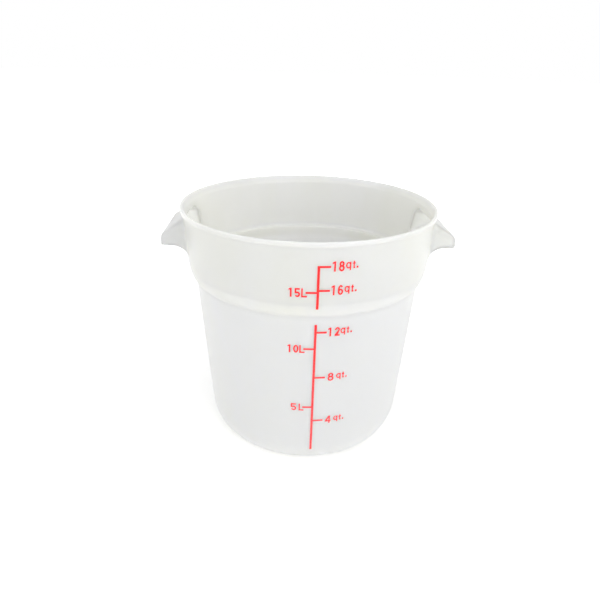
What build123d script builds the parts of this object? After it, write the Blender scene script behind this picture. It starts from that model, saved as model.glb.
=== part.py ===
"""A round dough proofing tub, moulded in one piece with two hollow ear handles, and its printed volume scale.

Millimetres, +Z up. The origin is the middle of the standing ring. The handles lie on +X and -X and the
scale is printed on the side that faces -Y.
"""

import os
from math import acos, degrees, sin

from build123d import *

os.makedirs("parts", exist_ok=True)

# The vessel's outside, from the lip inwards and downwards
body_height = 315.0
rim_radius = 160.5
lip_overhang = 4.0
upper_wall_draw_in = 1.5
upper_band_height = 89.5
shoulder_width = 9.2
shoulder_depth = 31.0
shoulder_root_round = 2.5
lower_wall_draw_in = 15.2
corner_height = 38.0
corner_width = 26.6

# The vessel's walls and floor
wall = 2.8
floor_thickness = 2.8
panel_recess = 1.6
standing_ring_width = 8.0
standing_ring_round = 0.6

# The nesting ledge inside the shoulder
ledge_rise = 14.0
ledge_root_round = 3.0
ledge_edge_round = 1.2

# The lip
lip_height = 5.5
lip_top_width = 3.2
lip_foot_round = 0.8
flare_height = 9.0

# The ear handles
handle_overhang = 20.7
handle_lip_gap = 7.0
handle_slope_fall = 18.1
handle_tip_height = 13.8
handle_sweep_radius = 25.4
handle_sweep_inset = 12.2
handle_root_inset = 22.0
handle_crease_rise = 8.0
handle_crease_half = 44.5
handle_hip_rise = 17.6
handle_hip_run = 19.2
handle_side_draft = 9.2
handle_taper = 1.3
handle_taper_length = 31.2
handle_slope_round = 6.0
handle_tip_round = 4.5

# The printed scale, which stands a little to the right of the middle between the handles
ink = 0.2
ink_gap = 0.02
line_width = 2.7
tick_width = 2.2
tick_length = 13.1
text_gap = 1.5
lower_line_foot = 27.8
scale_turn = 1.7
quart_text_height = 11.4
litre_text_height = 10.4
digit_stroke = 1.8
quart_unit_stroke = 1.35
litre_unit_stroke = 1.6

# Where the line stops at the shoulder: below it as a share of the shoulder's height, above it of the upper band's
lower_line_top_share = 0.9517
upper_line_foot_share = 0.134

# How high each mark stands: below the shoulder as a share of its height, above it as a share of the upper band
lower_mark_shares = {"12_qt": 0.9065, "8_qt": 0.629, "4_qt": 0.3388, "10_l": 0.8088, "5_l": 0.433}
upper_mark_shares = {"18_qt": 0.6927, "16_qt": 0.3882, "15_l": 0.3615}

# How far each tick runs from the line, as a share of the tick length: quarts to the right, litres to the left
tick_reach_shares = {
    "18_qt": 0.98,
    "16_qt": 0.98,
    "12_qt": 0.98,
    "8_qt": 1.04,
    "4_qt": 1.04,
    "15_l": -1.0,
    "10_l": -1.0,
    "5_l": -0.94,
}

# Where each character starts and ends, outwards from where its text starts, as shares of its text height
quart_unit_shares = (("q", 1.246, 1.737), ("t", 1.877, 2.149), (".", 2.272, 2.439))
near_quart_unit_shares = (("q", 1.051, 1.533), ("t", 1.656, 1.919), (".", 2.042, 2.2))
character_span_shares = {
    "18_qt": (("1", 0.0, 0.307), ("8", 0.596, 1.132), *quart_unit_shares),
    "16_qt": (("1", 0.0, 0.307), ("6", 0.614, 1.123), *quart_unit_shares),
    "12_qt": (("1", 0.0, 0.307), ("2", 0.667, 1.18), *quart_unit_shares),
    "8_qt": (("8", 0.147, 0.779), *near_quart_unit_shares),
    "4_qt": (("4", 0.13, 0.761), *near_quart_unit_shares),
    "15_l": (("L", -0.154, 0.433), ("5", 0.548, 1.106), ("1", 1.404, 1.721)),
    "10_l": (("L", -0.154, 0.433), ("0", 0.529, 1.106), ("1", 1.404, 1.721)),
    "5_l": (("L", -0.164, 0.4125), ("5", 0.682, 1.316)),
}

# How far each character reaches below and above its tick, as shares of its text height
quart_digit_rise_shares = (-0.474, 0.526)
litre_rise_shares = (-0.5, 0.5)
unit_rise_shares = {"q": (-0.421, 0.386), "t": (-0.254, 0.465), ".": (-0.246, -0.06)}

# The forms of the characters, as shares of their own boxes
waist_share = 0.53
upper_bowl_inset_share = 0.06
bowl_share = 0.62
flag_drop_share = 0.26
flag_weight_share = 0.16
flag_top_share = 0.7
tail_share = 0.228
cross_share = 0.7
cross_weight_share = 0.15
foot_reach_share = 0.9
four_bar_share = 0.22
four_stem_share = 0.86
four_counter_share = 0.26
two_cut_share = 0.68
five_cut_shares = (0.2, 0.42)
five_top_share = 0.94
six_gap_share = 0.78
diagonal_weight_share = 1.3

# Roundings, as shares of the thin sections that carry them
lip_round_share = 0.4375
handle_edge_round_share = 0.73
handle_inner_round_share = 0.7

# How squarely a face of the handle has to look to the side to be one of its sides or hips
handle_side_share = 0.5

# Cuts run past what they cut by this much
overrun = 10.0

# A quarter ellipse drawn as one cubic curve: how far along each side its handles reach
ellipse_share = 0.5523

# Radii and heights worked out from the sizes above
upper_wall_top_radius = rim_radius - lip_overhang
upper_wall_radius = upper_wall_top_radius - upper_wall_draw_in
lower_wall_radius = upper_wall_radius - shoulder_width
wall_foot_radius = lower_wall_radius - lower_wall_draw_in
standing_radius = wall_foot_radius - corner_width
shoulder_height = body_height - upper_band_height
shoulder_top = shoulder_height + shoulder_depth
ledge_height = shoulder_height + ledge_rise
lip_foot = body_height - lip_height
lip_inner_radius = rim_radius - lip_top_width
lip_edge_round = lip_round_share * lip_top_width
floor_top = panel_recess + floor_thickness
wall_lean = lower_wall_draw_in / shoulder_height
upper_lean = upper_wall_draw_in / (lip_foot - shoulder_top)
ledge_inner_radius = wall_foot_radius + wall_lean * ledge_height - wall
ledge_outer_radius = upper_wall_radius - upper_lean * (shoulder_top - ledge_height) - wall
flare_foot = body_height - flare_height
flare_foot_radius = upper_wall_top_radius - upper_lean * (lip_foot - flare_foot) - wall

# The ear handles' own places
handle_reach = rim_radius + handle_overhang
handle_slope_radius = upper_wall_radius - wall
handle_slope_top = lip_foot - handle_lip_gap
handle_slope_end = handle_slope_top - handle_slope_fall
handle_underside = handle_slope_end - handle_tip_height
handle_sweep_start = upper_wall_radius - handle_sweep_inset
handle_sweep_centre = handle_sweep_start + handle_sweep_radius
handle_sweep_foot = handle_underside - handle_sweep_radius
handle_root_radius = upper_wall_radius - wall - handle_root_inset
handle_crease_height = handle_slope_end + handle_crease_rise
handle_hip_top = handle_crease_height + handle_hip_rise
handle_top_half = handle_crease_half - handle_hip_run
handle_foot_half = handle_crease_half + handle_side_draft
handle_station = handle_reach - handle_taper_length
handle_taper_rate = handle_taper / handle_taper_length
handle_side_lean = handle_side_draft / (handle_crease_height - handle_sweep_foot)

# The heights of the marks and of the line's two ends at the shoulder
mark_heights = {mark: share * shoulder_height for mark, share in lower_mark_shares.items()} | {
    mark: shoulder_height + share * upper_band_height for mark, share in upper_mark_shares.items()
}
lower_line_top = lower_line_top_share * shoulder_height
upper_line_foot = shoulder_height + upper_line_foot_share * upper_band_height


def wall_outline(grow):
    """Draws the wall's half outline from the standing ring to under the lip, moved outwards by grow."""
    corner_start = (wall_foot_radius + wall_lean * corner_height + grow, corner_height)
    corner_end = (standing_radius, -grow)
    corner_reach = ellipse_share * (corner_height + grow)
    corner_side = (corner_start[0] - wall_lean * corner_reach, corner_height - corner_reach)
    corner_floor = (standing_radius + ellipse_share * (corner_width + grow), -grow)
    turn = acos(grow / (shoulder_width + grow))
    shoulder_root = (lower_wall_radius + grow, shoulder_top - (shoulder_depth + grow) * sin(turn))
    Line((0, -grow), corner_end)
    Bezier(corner_end, corner_floor, corner_side, corner_start)
    Line(corner_start, shoulder_root)
    EllipticalCenterArc(
        (lower_wall_radius, shoulder_top),
        shoulder_width + grow,
        shoulder_depth + grow,
        start_angle=-degrees(turn),
        arc_size=degrees(turn),
    )
    Polyline(
        (upper_wall_radius + grow, shoulder_top),
        (upper_wall_top_radius + grow, lip_foot),
        (0, lip_foot),
        (0, -grow),
    )


def cavity_outline():
    """Draws the half outline of the space inside: floor, rounded corner, wall, nesting ledge, upper wall and flare."""
    corner_start = (wall_foot_radius + wall_lean * corner_height - wall, corner_height)
    corner_reach = ellipse_share * (corner_height - floor_top)
    corner_side = (corner_start[0] - wall_lean * corner_reach, corner_height - corner_reach)
    corner_floor = (standing_radius + ellipse_share * (corner_width - wall), floor_top)
    Line((0, floor_top), (standing_radius, floor_top))
    Bezier((standing_radius, floor_top), corner_floor, corner_side, corner_start)
    Polyline(
        corner_start,
        (ledge_inner_radius, ledge_height),
        (ledge_outer_radius, ledge_height),
        (flare_foot_radius, flare_foot),
        (lip_inner_radius, body_height),
        (lip_inner_radius, body_height + overrun),
        (0, body_height + overrun),
        (0, floor_top),
    )


def corner_at(sketch, across, up):
    """Finds the corner of a sketch nearest to a place in its own plane."""
    return sketch.vertices().sort_by_distance((across, up, 0))[0]


def handle_section(station, inset):
    """Draws a handle's hexagonal section across the wall at a station, drawn in by inset."""
    narrowing = handle_taper_rate * (station - handle_station)
    half_outline = (
        (handle_foot_half + handle_side_lean * overrun - narrowing, handle_sweep_foot - overrun),
        (handle_crease_half - narrowing, handle_crease_height),
        (handle_top_half - narrowing, handle_hip_top),
    )
    Polygon(*half_outline, *((-across, up) for across, up in reversed(half_outline)), align=None)
    if inset:
        offset(amount=-inset, kind=Kind.INTERSECTION)


def handle_block(inset, edge_round):
    """Makes the handle on +X as a closed block, drawn in by inset all round, with its outer edges rounded."""
    with BuildPart() as block:
        for station in (handle_root_radius, handle_reach + overrun):
            with BuildSketch(Plane.YZ.offset(station)):
                handle_section(station, inset)
        loft(ruled=True)
        with BuildSketch(Plane.XZ) as side:
            with BuildLine():
                Polyline(
                    (handle_sweep_start, handle_sweep_foot),
                    (handle_root_radius, handle_sweep_foot),
                    (handle_root_radius, handle_slope_top),
                    (handle_slope_radius, handle_slope_top),
                    (handle_reach, handle_slope_end),
                    (handle_reach, handle_underside),
                    (handle_sweep_centre, handle_underside),
                )
                RadiusArc(
                    (handle_sweep_centre, handle_underside),
                    (handle_sweep_start, handle_sweep_foot),
                    -handle_sweep_radius,
                )
            make_face()
            fillet(corner_at(side, handle_reach, handle_slope_end), handle_slope_round)
            fillet(corner_at(side, handle_reach, handle_underside), handle_tip_round)
            if inset:
                offset(amount=-inset)
        extrude(amount=handle_reach, both=True, mode=Mode.INTERSECT)
        rims = block.faces().filter_by(lambda face: abs(face.normal_at().Y) > handle_side_share)
        shown_edges = (
            rims.edges()
            .filter_by(lambda edge: edge.bounding_box().min.X > handle_slope_radius - inset - wall)
            .filter_by(lambda edge: edge.bounding_box().min.Z > handle_sweep_foot + inset)
        )
        fillet(shown_edges, edge_round)
    return block.part


def oval(left, right, low, high, stroke):
    """Draws an upright oval band that fills a box."""
    with Locations(((left + right) / 2, (low + high) / 2)):
        Ellipse((right - left) / 2, (high - low) / 2)
        Ellipse((right - left) / 2 - stroke, (high - low) / 2 - stroke, mode=Mode.SUBTRACT)


def bar(left, right, low, high, mode=Mode.ADD):
    """Draws a bar that fills a box."""
    with Locations(((left + right) / 2, (low + high) / 2)):
        Rectangle(right - left, high - low, mode=mode)


def draw_one(left, right, low, high, stroke):
    """Draws a 1 with its flag."""
    flag_foot = high - flag_drop_share * (high - low)
    flag_weight = flag_weight_share * (high - low)
    Polygon(
        (right - stroke, low),
        (right, low),
        (right, high),
        (right - flag_top_share * stroke, high),
        (left, flag_foot + flag_weight),
        (left, flag_foot),
        (right - stroke, flag_foot + flag_weight / 2),
        align=None,
    )


def draw_two(left, right, low, high, stroke):
    """Draws a 2: a half oval, a diagonal and a foot."""
    bowl_low = high - bowl_share * (high - low)
    bowl_middle = (bowl_low + high) / 2
    cut_edge = left + two_cut_share * stroke
    oval(left, right, bowl_low, high, stroke)
    bar(left, right, bowl_low, bowl_middle, mode=Mode.SUBTRACT)
    Polygon(
        (right - stroke, bowl_middle),
        (right, bowl_middle),
        (cut_edge + diagonal_weight_share * stroke, low + stroke),
        (left, low + stroke),
        align=None,
    )
    bar(left, right, low, low + stroke)


def draw_four(left, right, low, high, stroke):
    """Draws a 4 with its open counter."""
    bar_low = low + four_bar_share * (high - low)
    stem_right = left + four_stem_share * (right - left)
    stem_left = stem_right - stroke
    Polygon((left, bar_low), (left, bar_low + stroke), (stem_left, high), (stem_right, high), (stem_right, bar_low), align=None)
    Polygon(
        (left + diagonal_weight_share * stroke, bar_low + stroke),
        (stem_left, bar_low + stroke),
        (stem_left, high - four_counter_share * (high - low)),
        align=None,
        mode=Mode.SUBTRACT,
    )
    bar(stem_left, stem_right, low, high)
    bar(left, right, bar_low, bar_low + stroke)


def draw_five(left, right, low, high, stroke):
    """Draws a 5: a bowl open on its left, a back and a top bar."""
    height = high - low
    gap_low, gap_high = (low + share * height for share in five_cut_shares)
    bowl_high = low + bowl_share * height
    oval(left, right, low, bowl_high, stroke)
    bar(left, (left + right) / 2, gap_low, gap_high, mode=Mode.SUBTRACT)
    bar(left, left + stroke, gap_high, high)
    bar(left, left + five_top_share * (right - left), high - stroke, high)


def draw_six(left, right, low, high, stroke):
    """Draws a 6: a tall oval open on its right, and a bowl."""
    height = high - low
    bowl_high = low + bowl_share * height
    oval(left, right, low, high, stroke)
    bar((left + right) / 2, right, low, low + six_gap_share * height, mode=Mode.SUBTRACT)
    oval(left, right, low, bowl_high, stroke)


def draw_eight(left, right, low, high, stroke):
    """Draws an 8: two ovals that share their waist."""
    waist = low + waist_share * (high - low)
    inset = upper_bowl_inset_share * (right - left)
    oval(left, right, low, waist + stroke / 2, stroke)
    oval(left + inset, right - inset, waist - stroke / 2, high, stroke)


def draw_q(left, right, low, high, stroke):
    """Draws a q with its tail."""
    oval(left, right, low + tail_share * (high - low), high, stroke)
    bar(right - stroke, right, low, high)


def draw_t(left, right, low, high, stroke):
    """Draws a t with its cross and foot."""
    middle = (left + right) / 2
    cross = low + cross_share * (high - low)
    cross_half = cross_weight_share * (high - low) / 2
    bar(middle - stroke / 2, middle + stroke / 2, low, high)
    bar(left, right, cross - cross_half, cross + cross_half)
    bar(middle, left + foot_reach_share * (right - left), low, low + stroke)


def draw_l(left, right, low, high, stroke):
    """Draws a capital L."""
    bar(left, left + stroke, low, high)
    bar(left, right, low, low + stroke)


def draw_dot(left, right, low, high, stroke):
    """Draws a square dot."""
    bar(left, right, low, high)


draw_character = {
    "0": oval,
    "1": draw_one,
    "2": draw_two,
    "4": draw_four,
    "5": draw_five,
    "6": draw_six,
    "8": draw_eight,
    "q": draw_q,
    "t": draw_t,
    "L": draw_l,
    ".": draw_dot,
}

outer_handle = handle_block(0, handle_edge_round_share * handle_tip_round)
inner_handle = handle_block(wall, handle_inner_round_share * (handle_tip_round - wall))

with BuildPart() as tub:
    with BuildSketch(Plane.XZ):
        with BuildLine():
            wall_outline(0)
        make_face()
    revolve(axis=Axis.Z)
    circles = tub.edges().filter_by(GeomType.CIRCLE)
    fillet(circles.sort_by_distance((lower_wall_radius, 0, shoulder_height))[0], shoulder_root_round)
    with BuildSketch(Plane.XY.offset(lip_foot)):
        Circle(rim_radius)
    extrude(amount=lip_height)
    circles = tub.edges().filter_by(GeomType.CIRCLE)
    fillet(circles.sort_by_distance((rim_radius, 0, lip_foot))[0], lip_foot_round)
    add(outer_handle)
    add(mirror(outer_handle, about=Plane.YZ, mode=Mode.PRIVATE))
    with BuildSketch(Plane.XZ) as cavity:
        with BuildLine():
            cavity_outline()
        make_face()
        fillet(corner_at(cavity, ledge_inner_radius, ledge_height), ledge_edge_round)
        fillet(corner_at(cavity, ledge_outer_radius, ledge_height), ledge_root_round)
    revolve(axis=Axis.Z, mode=Mode.SUBTRACT)
    add(inner_handle, mode=Mode.SUBTRACT)
    add(mirror(inner_handle, about=Plane.YZ, mode=Mode.PRIVATE), mode=Mode.SUBTRACT)
    with BuildSketch(Plane.XY):
        Circle(standing_radius - standing_ring_width)
    extrude(amount=panel_recess, mode=Mode.SUBTRACT)
    circles = tub.edges().filter_by(GeomType.CIRCLE)
    fillet(circles.group_by(Axis.Z)[-1], lip_edge_round)
    fillet(circles.sort_by_distance((standing_radius - standing_ring_width, 0, 0))[0], standing_ring_round)
tub.part.label = "tub"
export_step(tub.part, "parts/tub.step")

with BuildPart() as ink_coat:
    with BuildSketch(Plane.XZ):
        with BuildLine():
            wall_outline(ink_gap + ink)
        make_face()
    revolve(axis=Axis.Z)
    with BuildSketch(Plane.XZ):
        with BuildLine():
            wall_outline(ink_gap)
        make_face()
    revolve(axis=Axis.Z, mode=Mode.SUBTRACT)

for line_name, foot, top, marks in (
    ("scale_line_upper", upper_line_foot, mark_heights["18_qt"] + tick_width / 2, upper_mark_shares),
    ("scale_line_lower", lower_line_foot, lower_line_top, lower_mark_shares),
):
    with BuildPart() as scale_line:
        with BuildSketch(Plane.XZ):
            bar(-line_width / 2, line_width / 2, foot, top)
            for mark in marks:
                tick_ends = sorted((0, tick_reach_shares[mark] * tick_length))
                bar(*tick_ends, mark_heights[mark] - tick_width / 2, mark_heights[mark] + tick_width / 2)
        extrude(amount=rim_radius)
        add(ink_coat.part, mode=Mode.INTERSECT)
    turned_line = scale_line.part.rotate(Axis.Z, scale_turn)
    turned_line.label = line_name
    export_step(turned_line, f"parts/{line_name}.step")

for mark, characters in character_span_shares.items():
    quarts = mark.endswith("qt")
    text_height = quart_text_height if quarts else litre_text_height
    unit_stroke = quart_unit_stroke if quarts else litre_unit_stroke
    digit_rise_shares = quart_digit_rise_shares if quarts else litre_rise_shares
    text_start = tick_reach_shares[mark] * tick_length + (text_gap if quarts else 0)
    outwards = 1 if quarts else -1
    with BuildPart() as scale_label:
        for character, near_share, far_share in characters:
            low_share, high_share = unit_rise_shares.get(character, digit_rise_shares)
            ends = sorted(text_start + outwards * share * text_height for share in (near_share, far_share))
            with BuildSketch(Plane.XZ):
                draw_character[character](
                    *ends,
                    mark_heights[mark] + low_share * text_height,
                    mark_heights[mark] + high_share * text_height,
                    digit_stroke if character.isdigit() else unit_stroke,
                )
            extrude(amount=rim_radius)
        add(ink_coat.part, mode=Mode.INTERSECT)
    turned_label = scale_label.part.rotate(Axis.Z, scale_turn)
    turned_label.label = f"label_{mark}"
    export_step(turned_label, f"parts/label_{mark}.step")
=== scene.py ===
"""Dresses a round dough proofing tub: milky moulded plastic, a printed red volume scale and a plain studio.

The tub is one closed surface of two parameters: the angle round its axis, and the place along its profile
from the middle of the underside, up the outside, over the lip and down the inside to the middle of the
floor. The tub's own sizes are in millimetres. Materials, lamps and the floor are in metres.
"""

import logging
import math
from dataclasses import dataclass, field
from enum import Enum

import bpy
import numpy as np
from mathutils import Matrix, Vector


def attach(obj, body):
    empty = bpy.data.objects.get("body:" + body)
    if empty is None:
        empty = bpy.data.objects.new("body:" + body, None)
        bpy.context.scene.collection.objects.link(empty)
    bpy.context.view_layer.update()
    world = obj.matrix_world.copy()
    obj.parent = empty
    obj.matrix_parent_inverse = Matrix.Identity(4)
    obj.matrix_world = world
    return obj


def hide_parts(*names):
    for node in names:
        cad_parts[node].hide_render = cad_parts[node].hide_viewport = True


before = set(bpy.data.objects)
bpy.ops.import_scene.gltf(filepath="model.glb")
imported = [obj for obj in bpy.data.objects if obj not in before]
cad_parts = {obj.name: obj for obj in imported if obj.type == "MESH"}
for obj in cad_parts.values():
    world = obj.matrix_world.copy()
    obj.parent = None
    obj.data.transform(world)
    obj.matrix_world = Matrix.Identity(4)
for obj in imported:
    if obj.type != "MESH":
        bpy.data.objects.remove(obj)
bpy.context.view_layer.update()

log = logging.getLogger("proofing_tub")

Tree = bpy.types.NodeTree
Socket = bpy.types.NodeSocket
Value = Socket | float | tuple[float, ...]
Pair = tuple[float, float]
Triple = tuple[float, float, float]
Stops = tuple[tuple[float, Triple], ...]
Stretches = tuple[tuple[float, float, int], ...]
Grid = tuple[np.ndarray, np.ndarray]

MM = 0.001
WHITE = (1.0, 1.0, 1.0, 1.0)
# How far the middle points of a cubic curve are pulled so that it follows a quarter of a circle
CIRCLE_PULL = 0.5523


class Face(Enum):
    """Which skin of the tub's wall a surface belongs to."""

    OUTSIDE = "outside"
    INSIDE = "inside"


def new_material(name: str) -> tuple[bpy.types.Material, bpy.types.Node]:
    """Makes an empty node material.

    Args:
        name: The material's name.

    Returns:
        The material and its Principled shader.
    """
    material = bpy.data.materials.new(name)
    material.use_nodes = True
    return material, material.node_tree.nodes["Principled BSDF"]


def feed(tree: Tree, place: Socket, value: Value) -> None:
    """Links an output to a node's input, or sets the input where the value is plain."""
    if isinstance(value, bpy.types.NodeSocket):
        tree.links.new(value, place)
    else:
        place.default_value = value


def feed_all(tree: Tree, node: bpy.types.Node, values: dict[str, Value]) -> None:
    """Feeds several inputs of a node.

    Args:
        tree: The node's tree.
        node: The node.
        values: The outputs or plain values, by the names of the inputs.
    """
    for name, value in values.items():
        feed(tree, node.inputs[name], value)


def object_place(tree: Tree) -> Socket:
    """Reads the Object coordinates, in metres."""
    return tree.nodes.new("ShaderNodeTexCoord").outputs["Object"]


def object_height(tree: Tree) -> Socket:
    """Reads the height above the base from the Object coordinates, in metres."""
    parts = tree.nodes.new("ShaderNodeSeparateXYZ")
    tree.links.new(object_place(tree), parts.inputs["Vector"])
    return parts.outputs["Z"]


def calculated(tree: Tree, operation: str, *values: Socket | float) -> Socket:
    """Adds a Math node.

    Args:
        tree: The node tree.
        operation: What the node works out, as Blender names it.
        values: Its inputs in order, linked or plain.

    Returns:
        The result's output.
    """
    node = tree.nodes.new("ShaderNodeMath")
    node.operation = operation
    for place, value in zip(node.inputs, values):
        feed(tree, place, value)
    return node.outputs["Value"]


def vector_node(tree: Tree, operation: str, *values: Socket | Triple) -> bpy.types.Node:
    """Adds a Vector Math node.

    Args:
        tree: The node tree.
        operation: What the node works out, as Blender names it.
        values: Its inputs in order, linked or plain.

    Returns:
        The node, whose result is its Vector or its Value output.
    """
    node = tree.nodes.new("ShaderNodeVectorMath")
    node.operation = operation
    for place, value in zip(node.inputs, values):
        feed(tree, place, value)
    return node


def ramp(tree: Tree, grey: Socket, stops: Stops) -> Socket:
    """Turns a grey value into a colour.

    Args:
        tree: The material's node tree.
        grey: The value to read.
        stops: Rising values, each with its colour.

    Returns:
        The colour's output.
    """
    node = tree.nodes.new("ShaderNodeValToRGB")
    elements = node.color_ramp.elements
    elements.remove(elements[1])
    for number, (place, colour) in enumerate(stops):
        stop = elements.new(place) if number else elements[0]
        stop.position = place
        stop.color = (*colour, 1.0)
    tree.links.new(grey, node.inputs["Fac"])
    return node.outputs["Color"]


def spread(tree: Tree, grey: Socket, low: Socket | float, high: Socket | float) -> Socket:
    """Maps a grey value from 0..1 to low..high.

    Args:
        tree: The node tree.
        grey: The value to read.
        low: The result at 0, linked or plain.
        high: The result at 1, linked or plain.

    Returns:
        The mapped value's output.
    """
    node = tree.nodes.new("ShaderNodeMapRange")
    feed_all(tree, node, {"Value": grey, "To Min": low, "To Max": high})
    return node.outputs["Result"]


def reach(tree: Tree, value: Socket, between: Pair, levels: Pair = (0.0, 1.0)) -> Socket:
    """Gives how far a value has come on its way between two others, with a soft start and end.

    Args:
        tree: The node tree.
        value: The value to read.
        between: The values at which the way begins and ends.
        levels: The results there.

    Returns:
        The result's output.
    """
    node = tree.nodes.new("ShaderNodeMapRange")
    node.interpolation_type = "SMOOTHSTEP"
    places = ("From Min", "From Max", "To Min", "To Max")
    feed_all(tree, node, {"Value": value, **dict(zip(places, between + levels))})
    return node.outputs["Result"]


def relief(tree: Tree, grey: Socket, rise: float) -> Socket:
    """Adds a bump.

    Args:
        tree: The material's node tree.
        grey: The height pattern.
        rise: How high the pattern stands, in metres.

    Returns:
        The bumped normal's output.
    """
    node = tree.nodes.new("ShaderNodeBump")
    feed_all(tree, node, {"Height": grey, "Strength": 1.0, "Distance": rise})
    return node.outputs["Normal"]


def colour_sockets(sockets: bpy.types.bpy_prop_collection) -> list[Socket]:
    """Gives the colour sockets of a Mix node, which has sockets for each kind of value."""
    return [place for place in sockets if place.type == "RGBA"]


def blended(tree: Tree, way: str, share: Socket | float, first: Socket, second: Socket | Triple) -> Socket:
    """Blends two colours.

    Args:
        tree: The node tree.
        way: How the node blends them, as Blender names it.
        share: The second colour's share, linked or plain.
        first: The first colour.
        second: The second colour, linked or plain.

    Returns:
        The blended colour's output.
    """
    node = tree.nodes.new("ShaderNodeMix")
    node.data_type = "RGBA"
    node.blend_type = way
    feed(tree, node.inputs["Factor"], share)
    one, other = colour_sockets(node.inputs)
    feed(tree, one, first)
    feed(tree, other, (*second, 1.0) if isinstance(second, tuple) else second)
    return colour_sockets(node.outputs)[0]


def seen_directly(tree: Tree, unseen: float, seen: Socket | float) -> Socket:
    """Gives one value to rays that look at a surface, straight or in a reflection, and another to the rest.

    Args:
        tree: The node tree of the floor or the world.
        unseen: The value for the rays that only carry light.
        seen: The value for camera, glossy and transmission rays, linked or plain.

    Returns:
        The chosen value's output.
    """
    path = tree.nodes.new("ShaderNodeLightPath")
    straight = calculated(tree, "MAXIMUM", path.outputs["Is Camera Ray"], path.outputs["Is Glossy Ray"])
    looking = calculated(tree, "MAXIMUM", straight, path.outputs["Is Transmission Ray"])
    return spread(tree, looking, unseen, seen)


@dataclass(frozen=True)
class Pattern:
    """A noise on Object coordinates: waves to the metre, finer octaves, and a squeeze along each axis."""

    scale: float
    detail: float
    squeeze: Triple = (1.0, 1.0, 1.0)

    def grey(self, tree: Tree) -> Socket:
        """Adds the noise to a material.

        Args:
            tree: The material's node tree.

        Returns:
            The noise's grey output, from 0 to 1.
        """
        mapping = tree.nodes.new("ShaderNodeMapping")
        feed_all(tree, mapping, {"Vector": object_place(tree), "Scale": self.squeeze})
        texture = tree.nodes.new("ShaderNodeTexNoise")
        place = mapping.outputs["Vector"]
        feed_all(tree, texture, {"Vector": place, "Scale": self.scale, "Detail": self.detail})
        return texture.outputs["Fac"]


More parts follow.
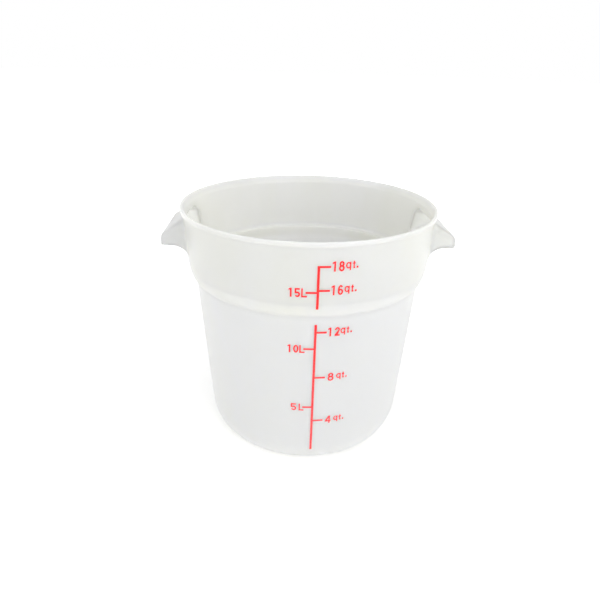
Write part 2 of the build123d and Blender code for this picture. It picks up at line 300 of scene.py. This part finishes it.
@dataclass(frozen=True)
class TranslucentPlastic:
    """Milky polypropylene: light goes a little way in, spreads and comes out on the other side.

    The hollow ears let more light through than the wall. They are told from it by five limits. One is
    slanted: the radius plus ear_lean times the height has to pass ear_start. Two are heights, ear_foot and
    ear_top. The flank and the hip each have a pair of numbers: the distance to the side plus the first
    number times the height has to stay below the second.
    """

    name: str = "milky_polypropylene"
    # Painted light and shade by height: paler towards the base as painted light, a painted shade band at the
    # shoulder, darker at the lip top; the greenish upper wall is the plastic's own tint
    tints_and_painted_shade_by_height: Stops = (
        (0.06, (0.99, 0.99, 0.985)),
        (0.12, (0.98, 0.98, 0.975)),
        (0.218, (0.95, 0.95, 0.94)),
        (0.231, (0.775, 0.777, 0.76)),
        (0.24, (0.775, 0.777, 0.76)),
        (0.247, (0.85, 0.851, 0.8)),
        (0.308, (0.85, 0.851, 0.8)),
        (0.3115, (0.77, 0.772, 0.76)),
    )
    # Painted light: the ears are painted paler than the wall
    ear_painted_light_tone: Triple = (0.985, 0.985, 0.985)
    cloud_tints: Stops = ((0.42, (0.982, 0.987, 0.935)), (0.6, (1.0, 1.0, 1.0)))
    roughness: Pair = (0.26, 0.36)
    refraction: float = 1.49
    clear_share: Pair = (0.16, 0.52)
    ear_lean: float = -0.57
    ear_start: Pair = (-0.01636, -0.01436)
    ear_foot: Pair = (0.243, 0.25)
    ear_top: Pair = (0.3095, 0.3085)
    ear_flank: Pair = (0.194, 0.1025)
    ear_hip: Pair = (1.09, 0.3647)
    ear_edge: float = 0.001
    scatter_share: float = 1.0
    scatter_depth: Triple = (1.0, 0.97, 0.9)
    scatter_scale: float = 0.02
    gloss_level: float = 0.22
    clouds: Pattern = Pattern(scale=9.0, detail=3.0, squeeze=(1.0, 1.0, 0.45))
    flow: Pattern = Pattern(scale=40.0, detail=4.0, squeeze=(1.0, 1.0, 0.2))
    skin: Pattern = Pattern(scale=900.0, detail=2.0)
    skin_height: float = 0.00001

    def material(self) -> bpy.types.Material:
        """Makes the material: a cloudy tone, a satin skin drawn out along the flow, and inner scattering."""
        material, shader = new_material(self.name)
        tree = material.node_tree
        values = {
            "Base Color": self.tone(tree),
            "Transmission Weight": spread(tree, self.ear(tree), *self.clear_share),
            "Roughness": spread(tree, self.flow.grey(tree), *self.roughness),
            "Normal": relief(tree, self.skin.grey(tree), self.skin_height),
            "IOR": self.refraction,
            "Specular IOR Level": self.gloss_level,
            "Subsurface Weight": self.scatter_share,
            "Subsurface Radius": self.scatter_depth,
            "Subsurface Scale": self.scatter_scale,
        }
        feed_all(tree, shader, values)
        return material

    def tone(self, tree: Tree) -> Socket:
        """Makes the colour with painted light and shade: painted light makes it palest below the shoulder
        and on the ears, painted shade darkens the band at the shoulder, and it is darker at the lip.

        Args:
            tree: The material's node tree.

        Returns:
            The colour's output, under faint warm clouds.
        """
        # Painted light and shade: the height bands, then the paler painted ears
        height_tint_and_painted_shade = ramp(tree, object_height(tree), self.tints_and_painted_shade_by_height)
        whole = blended(tree, "MIX", self.ear(tree), height_tint_and_painted_shade, self.ear_painted_light_tone)
        clouds = ramp(tree, self.clouds.grey(tree), self.cloud_tints)
        return blended(tree, "MULTIPLY", 1.0, whole, clouds)

    def ear(self, tree: Tree) -> Socket:
        """Tells the thin hollow ears from the wall, by their slanted start and the planes round them.

        Args:
            tree: The material's node tree.

        Returns:
            A value of 1 on the ears and 0 on the rest.
        """
        up = object_height(tree)
        place = object_place(tree)
        flat = vector_node(tree, "MULTIPLY", place, (1.0, 1.0, 0.0)).outputs["Vector"]
        radius = vector_node(tree, "LENGTH", flat).outputs["Value"]
        folded = vector_node(tree, "ABSOLUTE", place).outputs["Vector"]
        limits = [reach(tree, up, self.ear_foot), reach(tree, up, self.ear_top)]
        for slope, most in (self.ear_flank, self.ear_hip):
            side = vector_node(tree, "DOT_PRODUCT", folded, (0.0, 1.0, slope)).outputs["Value"]
            limits.append(reach(tree, side, (most + self.ear_edge, most - self.ear_edge)))
        ear = reach(tree, calculated(tree, "MULTIPLY_ADD", up, self.ear_lean, radius), self.ear_start)
        for limit in limits:
            ear = calculated(tree, "MULTIPLY", ear, limit)
        return ear


@dataclass(frozen=True)
class PrintedInk:
    """Screen-printed red ink: a strong flat colour with a soft sheen, a little thinner in places.

    It turns to the deep colour between the two heights of deepening, in metres.
    """

    name: str = "red_scale_ink"
    tints: Stops = ((0.3, (0.93, 0.05, 0.055)), (0.7, (0.97, 0.1, 0.105)))
    deep: Triple = (0.95, 0.02, 0.022)
    deepening: Pair = (0.05, 0.27)
    gloss_level: float = 0.3
    roughness: Pair = (0.32, 0.5)
    patches: Pattern = Pattern(scale=260.0, detail=3.0)
    grain: Pattern = Pattern(scale=2400.0, detail=1.0)
    grain_height: float = 0.000008

    def material(self) -> bpy.types.Material:
        """Makes the material: patchy ink that is deepest at the top, over a fine mesh grain."""
        material, shader = new_material(self.name)
        tree = material.node_tree
        patches = self.patches.grey(tree)
        patched = ramp(tree, patches, self.tints)
        higher = reach(tree, object_height(tree), self.deepening)
        values = {
            "Base Color": blended(tree, "MIX", higher, patched, self.deep),
            "Roughness": spread(tree, patches, *self.roughness),
            "Normal": relief(tree, self.grain.grey(tree), self.grain_height),
            "Specular IOR Level": self.gloss_level,
        }
        feed_all(tree, shader, values)
        return material


@dataclass(frozen=True)
class PaleBackdrop:
    """A matt white floor that the camera sees as plain white and that still takes the tub's shadow.

    Its glow rises from the first level to the second between the two distances of fade, in metres.
    """

    name: str = "pale_backdrop"
    tints: Stops = ((0.3, (0.86, 0.86, 0.86)), (0.7, (0.87, 0.87, 0.87)))
    mottle: Pattern = Pattern(scale=3.0, detail=2.0)
    roughness: float = 0.9
    glow: Pair = (0.26, 1.0)
    fade: Pair = (0.25, 1.3)

    def material(self) -> bpy.types.Material:
        """Makes the matt material, whose glow for the camera grows to full white away from the tub."""
        material, shader = new_material(self.name)
        tree = material.node_tree
        away = vector_node(tree, "LENGTH", object_place(tree)).outputs["Value"]
        values = {
            "Base Color": ramp(tree, self.mottle.grey(tree), self.tints),
            "Roughness": self.roughness,
            "Specular IOR Level": 0.0,
            "Emission Color": WHITE,
            "Emission Strength": seen_directly(tree, 0.0, reach(tree, away, self.fade, self.glow)),
        }
        feed_all(tree, shader, values)
        return material


def rounded_largest(first: np.ndarray, second: np.ndarray, radius: float) -> np.ndarray:
    """Takes the larger of two distances, and rounds the corner where they meet.

    Args:
        first: One distance.
        second: The other distance.
        radius: The corner's radius.

    Returns:
        The larger distance, blended along a circle of the radius where both are within it.
    """
    inner = np.maximum(radius + first, 0.0)
    other = np.maximum(radius + second, 0.0)
    return np.minimum(-radius, np.maximum(first, second)) + np.hypot(inner, other)


def rounded_smallest(first: np.ndarray, second: np.ndarray, radius: float) -> np.ndarray:
    """Takes the smaller of two distances, and fills the corner where they meet with a round hollow."""
    return -rounded_largest(-first, -second, radius)


def plane_depth(wide: np.ndarray, up: np.ndarray, foot: Pair, top: Pair) -> np.ndarray:
    """Measures how far points lie outside a plane that leans inwards as it rises.

    Args:
        wide: How far the points stand out.
        up: How high they are.
        foot: How far the plane's lower edge stands out, and its height.
        top: The same of its upper edge.

    Returns:
        The signed distance, negative on the plane's inner side.
    """
    lean = (foot[0] - top[0]) / (top[1] - foot[1])
    return (wide - foot[0] + lean * (up - foot[1])) / math.hypot(1.0, lean)


@dataclass
class EarHandle:
    """The solid block that one hollow ear adds to the wall: planes and a concave sweep, in millimetres."""

    tip: float = 181.2
    slope_start: Pair = (152.2, 302.5)
    slope_end: float = 284.4
    underside: float = 270.6
    sweep_centre: float = 168.2
    sweep_radius: float = 25.4
    station: float = 150.0
    foot_half: float = 53.7
    crease_half: float = 44.5
    crease_height: float = 292.4
    top_half: float = 25.3
    hip_top: float = 310.0
    taper: float = 1.3
    tip_round: float = 5.0
    foot_round: float = 4.2
    side_round: float = 3.2
    crease_round: float = 2.2
    least_round: float = 1.0
    least_crease_round: float = 0.8

    def depth(self, out: np.ndarray, across: np.ndarray, up: np.ndarray, inset: float) -> np.ndarray:
        """Measures how far points lie outside the block: the rounded largest of its planes' distances.

        Args:
            out: How far the points stand out from the tub's axis, towards the handle.
            across: How far they lie to the side of the handle's middle.
            up: How high they are.
            inset: How far the block's skin is moved inwards.

        Returns:
            The signed distance, negative inside the block.
        """
        tip_round = max(self.tip_round - inset, self.least_round)
        foot_round = max(self.foot_round - inset, self.least_round)
        side_round = max(self.side_round - inset, self.least_round)
        crease_round = max(self.crease_round - inset, self.least_crease_round)
        foot = self.underside - self.sweep_radius
        crease = (self.crease_half, self.crease_height)
        slope = plane_depth(out, up, (self.tip, self.slope_end), self.slope_start)
        front = rounded_largest(slope, out - self.tip, tip_round)
        wide = np.abs(across) + self.taper / (self.tip - self.station) * (out - self.station)
        side = plane_depth(wide, up, (self.foot_half, foot), crease)
        hip = plane_depth(wide, up, crease, (self.top_half, self.hip_top))
        shell = rounded_largest(front, rounded_largest(side, hip, crease_round), side_round)
        swept = self.sweep_radius - np.hypot(np.minimum(out - self.sweep_centre, 0.0), up - foot)
        below = np.maximum(swept, foot - up)
        return rounded_largest(shell + inset, below + inset, foot_round)


def spaced(stretches: Stretches) -> np.ndarray:
    """Spaces values over stretches that follow one another, evenly within each.

    Args:
        stretches: Where each one starts and ends, and how many steps it has.

    Returns:
        The values, from the first stretch's start to the last one's end.
    """
    runs = [np.linspace(start, end, steps, endpoint=False) for start, end, steps in stretches]
    return np.append(np.concatenate(runs), stretches[-1][1])


def straight(start: np.ndarray, end: np.ndarray, steps: int) -> np.ndarray:
    """Gives evenly spaced points between two others, without those two."""
    share = np.linspace(0.0, 1.0, steps + 2)[1:-1, None]
    return start + (end - start) * share


def bend(before: Pair, corner: Pair, after: Pair, radius: float, steps: int) -> np.ndarray:
    """Rounds a corner of a profile by an arc that touches both of its sides.

    Args:
        before: A point on the side that leads in.
        corner: The sharp corner.
        after: A point on the side that leads out.
        radius: The arc's radius.
        steps: How many points the arc has.

    Returns:
        The arc's points as radius and height.
    """
    here = np.array(corner, float)
    back = np.array(before, float) - here
    ahead = np.array(after, float) - here
    back /= np.linalg.norm(back)
    ahead /= np.linalg.norm(ahead)
    half_angle = math.acos(float(np.clip(back @ ahead, -1.0, 1.0))) / 2
    middle = (back + ahead) / np.linalg.norm(back + ahead)
    centre = here + middle * radius / math.sin(half_angle)
    start = here + back * radius / math.tan(half_angle) - centre
    end = here + ahead * radius / math.tan(half_angle) - centre
    turn = math.atan2(start[0] * end[1] - start[1] * end[0], float(start @ end))
    angle = np.linspace(0.0, turn, steps)[:, None]
    side = np.array([-start[1], start[0]])
    return centre + np.cos(angle) * start + np.sin(angle) * side


def turned(profile: np.ndarray, columns: int) -> Grid:
    """Repeats one profile at each angle.

    Args:
        profile: Radius and height of each of its points.
        columns: How many angles there are.

    Returns:
        The radii and the heights, one row for each point and one column for each angle.
    """
    return np.tile(profile[:, :1], columns), np.tile(profile[:, 1:], columns)


def ring_faces(rows: int, columns: int) -> np.ndarray:
    """Numbers the corners of a grid's four-sided faces, where the last column is joined to the first.

    Args:
        rows: How many rows of points the grid has.
        columns: How many points each row has.

    Returns:
        Four point numbers for each face.
    """
    row, column = np.meshgrid(np.arange(rows - 1), np.arange(columns), indexing="ij")
    here = row * columns + column
    after = row * columns + (column + 1) % columns
    return np.stack([here, after, after + columns, here + columns], axis=-1).reshape(-1, 4)


def make_mesh(name: str, points: np.ndarray, quads: np.ndarray, triangles: np.ndarray) -> bpy.types.Object:
    """Puts whole arrays of points and faces into a smooth mesh object.

    Args:
        name: The object's name.
        points: The points, in metres.
        quads: Four point numbers to each four-sided face.
        triangles: Three point numbers to each three-sided face.

    Returns:
        The new object, linked to the scene.
    """
    mesh = bpy.data.meshes.new(name)
    mesh.vertices.add(len(points))
    mesh.vertices.foreach_set("co", points.astype(np.float32).ravel())
    corners = np.concatenate([quads.ravel(), triangles.ravel()])
    counts = np.concatenate([np.full(len(quads), 4), np.full(len(triangles), 3)])
    mesh.loops.add(corners.size)
    mesh.loops.foreach_set("vertex_index", corners.astype(np.int32))
    mesh.polygons.add(counts.size)
    mesh.polygons.foreach_set("loop_start", (np.cumsum(counts) - counts).astype(np.int32))
    mesh.update(calc_edges=True)
    mesh.validate()
    mesh.polygons.foreach_set("use_smooth", np.ones(len(mesh.polygons), bool))
    made = bpy.data.objects.new(name, mesh)
    bpy.context.scene.collection.objects.link(made)
    return made


@dataclass
class Tub:
    """The one-piece moulding: wall, shoulder, lip, base and two hollow ears. Sizes in millimetres.

    Between ray_foot and the lip the ears grow out of the wall, so both faces are found there along rays from
    the pivot, which lies inside both. The rays stop a little short of the lip, the flare and the ledge. The
    leads are points near a corner that give the directions of its sides.
    """

    height: float = 315.0
    rim_radius: float = 160.5
    upper_top: float = 156.5
    upper_foot: float = 155.0
    lower_top: float = 145.8
    lower_foot: float = 130.6
    shoulder_height: float = 225.5
    shoulder_depth: float = 31.0
    shoulder_round: float = 2.5
    shoulder_lead: float = 1.2
    corner_height: float = 38.0
    corner_width: float = 26.6
    wall: float = 2.8
    floor_thickness: float = 2.8
    panel_recess: float = 1.6
    panel_edge_round: float = 0.7
    ring_width: float = 8.0
    ring_edge_round: float = 0.5
    panel_margin: float = 6.0
    pole_ring: float = 10.0
    ledge_height: float = 239.5
    ledge_root_round: float = 3.0
    ledge_edge_round: float = 0.8
    ledge_lead: Pair = (0.1, 262.5)
    lip_height: float = 5.5
    lip_width: float = 3.2
    lip_round: float = 1.4
    lip_root_round: float = 0.8
    lip_foot_round: float = 0.9
    flare_height: float = 9.0
    ear: EarHandle = field(default_factory=EarHandle)
    ear_joint_round: float = 4.5
    recess_edge_round: float = 0.7
    pivot: Pair = (140.0, 284.0)
    ray_foot: float = 242.5
    ray_reach: float = 70.0
    ray_halvings: int = 34
    gap_below_lip: float = 0.9
    gap_below_flare: float = 2.2
    gap_above_ledge: float = 0.6
    quarter_columns: Stretches = ((0.0, 11.0, 10), (11.0, 21.6, 46), (21.6, 90.0, 34))
    rays: Stretches = ((0.0, 0.33, 13), (0.33, 0.44, 15), (0.44, 0.6, 17), (0.6, 0.9, 11), (0.9, 1.0, 13))
    finish: TranslucentPlastic = TranslucentPlastic()

    @property
    def lip_foot(self) -> float:
        """The height of the lip's underside."""
        return self.height - self.lip_height

    @property
    def shoulder_top(self) -> float:
        """The height at which the shoulder has swung out to the upper wall."""
        return self.shoulder_height + self.shoulder_depth

    @property
    def flare_foot(self) -> float:
        """The height at which the inner face begins to flare towards the lip."""
        return self.height - self.flare_height

    @property
    def upper_lean(self) -> float:
        """How much the upper wall widens for each millimetre of height."""
        return (self.upper_top - self.upper_foot) / (self.lip_foot - self.shoulder_top)

    @property
    def lower_lean(self) -> float:
        """How much the lower wall widens for each millimetre of height."""
        return (self.lower_top - self.lower_foot) / self.shoulder_height

    @property
    def floor_height(self) -> float:
        """The height of the floor's upper face."""
        return self.panel_recess + self.floor_thickness

    def outside_radius(self, up: np.ndarray | float) -> np.ndarray:
        """Gives the outer wall's radius from the shoulder up: a quarter ellipse, then a slight lean."""
        drop = np.clip((self.shoulder_top - up) / self.shoulder_depth, 0.0, 1.0)
        curve = self.lower_top + (self.upper_foot - self.lower_top) * np.sqrt(1.0 - drop**2)
        leaning = self.upper_foot + self.upper_lean * (up - self.shoulder_top)
        return np.where(up < self.shoulder_top, curve, leaning)

    def inside_radius(self, up: np.ndarray | float) -> np.ndarray:
        """Gives the upper wall's inner radius, one wall inside its outer face, flaring towards the lip."""
        plain = self.upper_foot + self.upper_lean * (up - self.shoulder_top) - self.wall
        flare = (self.rim_radius - self.lip_width - self.upper_top + self.wall) / self.flare_height
        return plain + flare * np.maximum(up - self.flare_foot, 0.0)

    def shoulder_rise(self, radius: float) -> float:
        """Gives the height at which the shoulder's ellipse reaches a radius."""
        share = (radius - self.lower_top) / (self.upper_foot - self.lower_top)
        return self.shoulder_top - self.shoulder_depth * math.sqrt(1.0 - share**2)

    def wall_depth(self, face: Face, out: np.ndarray, across: np.ndarray, up: np.ndarray) -> np.ndarray:
        """Measures how far points lie outside the wall's face with its ear.

        Args:
            face: The outer or the inner face.
            out: How far the points stand out from the axis, towards the handle.
            across: How far they lie to its side.
            up: How high they are.

        Returns:
            The signed distance, negative on the axis's side.
        """
        radius = np.hypot(out, across)
        if face is Face.OUTSIDE:
            plain, inset, joint = radius - self.outside_radius(up), 0.0, self.ear_joint_round
        else:
            plain, inset, joint = radius - self.inside_radius(up), self.wall, self.recess_edge_round
        return rounded_smallest(plain, self.ear.depth(out, across, up, inset), joint)

    def star(self, face: Face, angles: np.ndarray, low: Pair, high: Pair) -> Grid:
        """Finds the wall's face along rays from a pivot inside the wall, in the upright plane at each angle.

        The rays turn from the low point to the high point. They stand closest round the ear's lower tip,
        where they meet its flat underside at a low angle. On each ray the face is found by halving the
        stretch between a point inside it and a point outside it, for all rays at once. Both ears are alike
        on both of their sides, so all angles are folded into the quarter from an ear's middle.

        Args:
            face: The outer or the inner face.
            angles: The angles round the axis.
            low: Radius and height of the point that the first ray meets.
            high: Radius and height of the point that the last ray meets.

        Returns:
            The radii and the heights, one row for each ray and one column for each angle.
        """
        first = math.atan2(low[1] - self.pivot[1], low[0] - self.pivot[0])
        last = math.atan2(high[1] - self.pivot[1], high[0] - self.pivot[0])
        turn = (first + (last - first) * spaced(self.rays))[:, None]
        towards, rise = np.cos(turn), np.sin(turn)
        fold = np.abs((angles + math.pi / 2) % math.pi - math.pi / 2)[None, :]
        near = np.zeros((turn.size, angles.size))
        far = np.full_like(near, self.ray_reach)
        for _ in range(self.ray_halvings):
            middle = (near + far) / 2
            radius = self.pivot[0] + middle * towards
            up = self.pivot[1] + middle * rise
            outside = self.wall_depth(face, radius * np.cos(fold), radius * np.sin(fold), up) > 0
            far = np.where(outside, middle, far)
            near = np.where(outside, near, middle)
        middle = (near + far) / 2
        return self.pivot[0] + middle * towards, self.pivot[1] + middle * rise

    def column_angles(self) -> np.ndarray:
        """Spaces the columns: close together over the ears and their sides, wider between them."""
        quarter = spaced(self.quarter_columns)
        half = np.concatenate([quarter, 180.0 - quarter[-2:0:-1]])
        return np.radians(np.concatenate([half, half + 180.0]))

    def corner(self, face: Face, steps: int) -> np.ndarray:
        """Draws the rounded base corner as one cubic curve from the floor up to the wall.

        Args:
            face: The outer or the inner face.
            steps: How many points it has.

        Returns:
            An array of radius and height, from the floor to the wall.
        """
        moved = self.wall if face is Face.INSIDE else 0.0
        floor = self.floor_height if face is Face.INSIDE else 0.0
        start_radius = self.lower_foot - self.corner_width
        end_radius = self.lower_foot + self.lower_lean * self.corner_height - moved
        foot = np.array([start_radius, floor])
        top = np.array([end_radius, self.corner_height])
        rise = CIRCLE_PULL * (self.corner_height - floor)
        foot_pull = np.array([start_radius + CIRCLE_PULL * (self.corner_width - moved), floor])
        top_pull = np.array([end_radius - self.lower_lean * rise, self.corner_height - rise])
        share = np.linspace(0.0, 1.0, steps)[:, None]
        rest = 1 - share
        lower = rest**3 * foot + 3 * rest**2 * share * foot_pull
        return lower + 3 * rest * share**2 * top_pull + share**3 * top

    def underside_rows(self) -> np.ndarray:
        """Draws the profile from near the axis, along the underside and up to the shoulder's root."""
        recess = self.panel_recess
        ring = self.lower_foot - self.corner_width - self.ring_width
        radii = np.linspace(self.pole_ring, ring - self.panel_margin, num=8)
        panel = np.column_stack([radii, np.full(radii.size, recess)])
        panel_edge = bend((0.0, recess), (ring, recess), (ring, 0.0), self.panel_edge_round, steps=4)
        ring_edge = bend((ring, recess), (ring, 0.0), (self.lower_foot, 0.0), self.ring_edge_round, steps=4)
        corner = self.corner(Face.OUTSIDE, steps=18)
        lead_radius = self.lower_top + self.shoulder_lead
        shoulder = (lead_radius, self.shoulder_rise(lead_radius))
        sharp_root = (self.lower_top, self.shoulder_height)
        root = bend((self.lower_foot, 0.0), sharp_root, shoulder, self.shoulder_round, steps=6)
        wall = straight(corner[-1], root[0], steps=8)
        return np.vstack([panel, panel_edge, ring_edge, corner, wall, root])

    def shoulder_rows(self, foot: float) -> np.ndarray:
        """Draws the shoulder's lower part, from the height of its root's end to where the rays begin."""
        first = math.asin(min(1.0, (self.shoulder_top - foot) / self.shoulder_depth))
        last = math.asin((self.shoulder_top - self.ray_foot) / self.shoulder_depth)
        turn = np.linspace(first, last, num=9)[1:-1]
        radius = self.lower_top + (self.upper_foot - self.lower_top) * np.cos(turn)
        return np.column_stack([radius, self.shoulder_top - self.shoulder_depth * np.sin(turn)])

    def lip_rows(self) -> np.ndarray:
        """Draws the lip from its underside over its rounded top to the flare inside."""
        wall, rim, inner = self.upper_top, self.rim_radius, self.rim_radius - self.lip_width
        foot, top = self.lip_foot, self.height
        flare = (float(self.inside_radius(self.flare_foot)), self.flare_foot)
        root = bend((wall, 0.0), (wall, foot), (rim, foot), self.lip_root_round, steps=4)
        outer_foot = bend((wall, foot), (rim, foot), (rim, top), self.lip_foot_round, steps=4)
        outer_top = bend((rim, foot), (rim, top), (inner, top), self.lip_round, steps=7)
        inner_top = bend((rim, top), (inner, top), flare, self.lip_round, steps=6)
        return np.vstack([root, outer_foot, outer_top, inner_top])

    def inside_rows(self) -> np.ndarray:
        """Draws the profile from the ledge's root down the inner wall to near the middle of the floor."""
        ledge = self.ledge_height
        sharp_root = (float(self.inside_radius(ledge)), ledge)
        sharp_edge = (self.lower_foot + self.lower_lean * ledge - self.wall, ledge)
        lead = (sharp_root[0] + self.ledge_lead[0], self.ledge_lead[1])
        foot = (self.lower_foot - self.wall, 0.0)
        root = bend(lead, sharp_root, sharp_edge, self.ledge_root_round, steps=7)
        edge = bend(sharp_root, sharp_edge, foot, self.ledge_edge_round, steps=6)
        corner = self.corner(Face.INSIDE, steps=16)[::-1]
        wall = straight(edge[-1], corner[0], steps=10)
        radii = np.linspace(corner[-1][0], self.pole_ring, num=9)[1:]
        floor = np.column_stack([radii, np.full(radii.size, corner[-1][1])])
        return np.vstack([root, edge, wall, corner, floor])

    def surface(self) -> Grid:
        """Works out the whole skin: fixed profiles turned round the axis, and two stretches with the ears.

        Returns:
            Radii and heights on a grid of profile rows and angle columns.
        """
        angles = self.column_angles()
        under_lip = self.lip_foot - self.gap_below_lip
        under_flare = self.height - self.lip_round - self.gap_below_flare
        over_ledge = self.ray_foot + self.gap_above_ledge
        outer_foot = (float(self.outside_radius(self.ray_foot)), self.ray_foot)
        inner_foot = (float(self.inside_radius(over_ledge)), over_ledge)
        inner_top = (float(self.inside_radius(under_flare)), under_flare)
        outer = self.star(Face.OUTSIDE, angles, outer_foot, (self.upper_top, under_lip))
        inner = self.star(Face.INSIDE, angles, inner_foot, inner_top)
        underside = self.underside_rows()
        parts = [
            turned(underside, angles.size),
            turned(self.shoulder_rows(underside[-1][1]), angles.size),
            outer,
            turned(self.lip_rows(), angles.size),
            (inner[0][::-1], inner[1][::-1]),
            turned(self.inside_rows(), angles.size),
        ]
        return np.vstack([part[0] for part in parts]), np.vstack([part[1] for part in parts])

    def build(self) -> bpy.types.Object:
        """Makes the tub's mesh, with both poles closed, and puts it in the frame in place of its solid."""
        radius, up = self.surface()
        angles = self.column_angles()
        rows, columns = radius.shape
        grid = np.stack([radius * np.cos(angles), radius * np.sin(angles), up], axis=-1).reshape(-1, 3)
        poles = [[0.0, 0.0, self.panel_recess], [0.0, 0.0, self.floor_height]]
        points = np.vstack([grid, poles]) * MM
        first = np.arange(columns)
        second = (first + 1) % columns
        last = (rows - 1) * columns
        bottom = np.column_stack([second, first, np.full(columns, len(grid))])
        top = np.column_stack([last + first, last + second, np.full(columns, len(grid) + 1)])
        tub = make_mesh("tub_moulding", points, ring_faces(rows, columns), np.vstack([bottom, top]))
        tub.data.materials.append(self.finish.material())
        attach(tub, "root")
        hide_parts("tub")
        return tub


@dataclass
class VolumeScale:
    """The printed scale: two lengths of line with their ticks, and the labels beside them."""

    lines: tuple[str, ...] = ("scale_line_upper", "scale_line_lower")
    quart_labels: tuple[str, ...] = ("label_18_qt", "label_16_qt", "label_12_qt", "label_8_qt", "label_4_qt")
    litre_labels: tuple[str, ...] = ("label_15_l", "label_10_l", "label_5_l")
    finish: PrintedInk = PrintedInk()

    def build(self) -> list[bpy.types.Object]:
        """Gives each printed piece its ink."""
        ink = self.finish.material()
        pieces = [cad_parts[name] for name in self.lines + self.quart_labels + self.litre_labels]
        for piece in pieces:
            for place in piece.material_slots:
                place.material = ink
        return pieces


@dataclass(frozen=True)
class Lamp:
    """A square lamp panel: its place and width in metres, and its power in watts."""

    name: str
    place: Triple
    power: float
    width: float = 1.2

    def build(self, aim: Triple) -> bpy.types.Object:
        """Makes the panel.

        Args:
            aim: The point that it faces.

        Returns:
            The lamp's object, linked to the scene.
        """
        lamp = bpy.data.lights.new(self.name, "AREA")
        lamp.energy = self.power
        lamp.size = self.width
        panel = bpy.data.objects.new(self.name, lamp)
        panel.location = self.place
        panel.rotation_euler = (Vector(aim) - Vector(self.place)).to_track_quat("-Z", "Y").to_euler()
        bpy.context.scene.collection.objects.link(panel)
        return panel


@dataclass
class Studio:
    """The pale floor, the lamps and the camera at the photograph's view.

    The camera's place is in millimetres and degrees round the tub, its lens and shift in the photograph's
    pixels. The floor, the lamps and the clipping distances are in metres.
    """

    focal_pixels: float = 537.5
    image_pixels: float = 600.0
    sensor: float = 36.0
    centre_pixels: Pair = (306.06, 313.27)
    distance: float = 751.2
    elevation: float = 26.226
    azimuth: float = 2.70
    roll: float = 1.527
    aim_height: float = 157.5
    clip: Pair = (0.02, 30.0)
    floor_radius: float = 12.0
    floor_rings: int = 11
    floor_doublings: float = 5.0
    floor_columns: int = 96
    world_level: float = 0.475
    lamp_aim: Triple = (0.0, 0.0, 0.15)
    lamps: tuple[Lamp, ...] = (
        Lamp("right_panel", (1.1, -1.6, 0.8), 16.5),
        Lamp("high_panel", (1.1, -0.1, 1.9), 6.0),
        Lamp("top_panel", (0.0, 0.0, 2.2), 11.0),
        Lamp("front_panel", (0.2, -2.0, 1.1), 7.0),
        Lamp("left_panel", (-1.7, -0.9, 0.9), 11.6),
        Lamp("back_left_panel", (-1.6, 1.1, 0.8), 5.0),
    )
    finish: PaleBackdrop = PaleBackdrop()

    def build_floor(self) -> bpy.types.Object:
        """Makes a round floor of rings round the tub's axis, each twice as wide as the last but one."""
        radii = self.floor_radius * 2.0 ** np.linspace(-self.floor_doublings, 0.0, self.floor_rings)
        angles = np.linspace(0.0, 2 * math.pi, self.floor_columns, endpoint=False)
        turn = np.column_stack([np.cos(angles), np.sin(angles), np.zeros(angles.size)])
        grid = (radii[:, None, None] * turn).reshape(-1, 3)
        points = np.vstack([grid, np.zeros(3)])
        quads = ring_faces(radii.size, angles.size)[:, [0, 3, 2, 1]]
        first = np.arange(angles.size)
        middle = np.column_stack([first, (first + 1) % angles.size, np.full(angles.size, len(grid))])
        floor = make_mesh("backdrop", points, quads, middle)
        floor.data.materials.append(self.finish.material())
        return floor

    def build_light(self) -> None:
        """Makes the world's even light and the lamps, of which the side ones in front are the strongest."""
        world = bpy.data.worlds.new("studio_world")
        bpy.context.scene.world = world
        world.use_nodes = True
        tree = world.node_tree
        level = seen_directly(tree, self.world_level, 1.0)
        feed_all(tree, tree.nodes["Background"], {"Color": WHITE, "Strength": level})
        for lamp in self.lamps:
            lamp.build(self.lamp_aim)

    def build_camera(self) -> bpy.types.Object:
        """Places the camera at the photograph's view, with its small roll and shift."""
        lens = bpy.data.cameras.new("photo_camera")
        lens.sensor_width = self.sensor
        lens.lens = self.focal_pixels / self.image_pixels * self.sensor
        lens.shift_x = (self.image_pixels / 2 - self.centre_pixels[0]) / self.image_pixels
        lens.shift_y = (self.centre_pixels[1] - self.image_pixels / 2) / self.image_pixels
        lens.clip_start, lens.clip_end = self.clip
        camera = bpy.data.objects.new("photo_camera", lens)
        azimuth, elevation = math.radians(self.azimuth), math.radians(self.elevation)
        level = math.cos(elevation)
        back = Vector((-math.sin(azimuth) * level, -math.cos(azimuth) * level, math.sin(elevation)))
        camera.location = Vector((0.0, 0.0, self.aim_height * MM)) + back * self.distance * MM
        rolled = Matrix.Rotation(math.radians(self.roll), 3, "Z")
        facing = (-back).to_track_quat("-Z", "Y").to_matrix() @ rolled
        camera.rotation_euler = facing.to_euler()
        bpy.context.scene.collection.objects.link(camera)
        bpy.context.scene.camera = camera
        return camera


def main() -> None:
    """Builds the studio, the tub and its scale in order."""
    logging.basicConfig(level=logging.INFO, format="%(name)s: %(message)s")
    bpy.context.scene.view_settings.view_transform = "Standard"
    studio = Studio()
    studio.build_camera()
    studio.build_light()
    studio.build_floor()
    log.info("studio ready")
    tub = Tub().build()
    log.info("%s: %d faces", tub.name, len(tub.data.polygons))
    for piece in VolumeScale().build():
        log.info("%s: inked", piece.name)


if __name__ == "__main__":
    main()
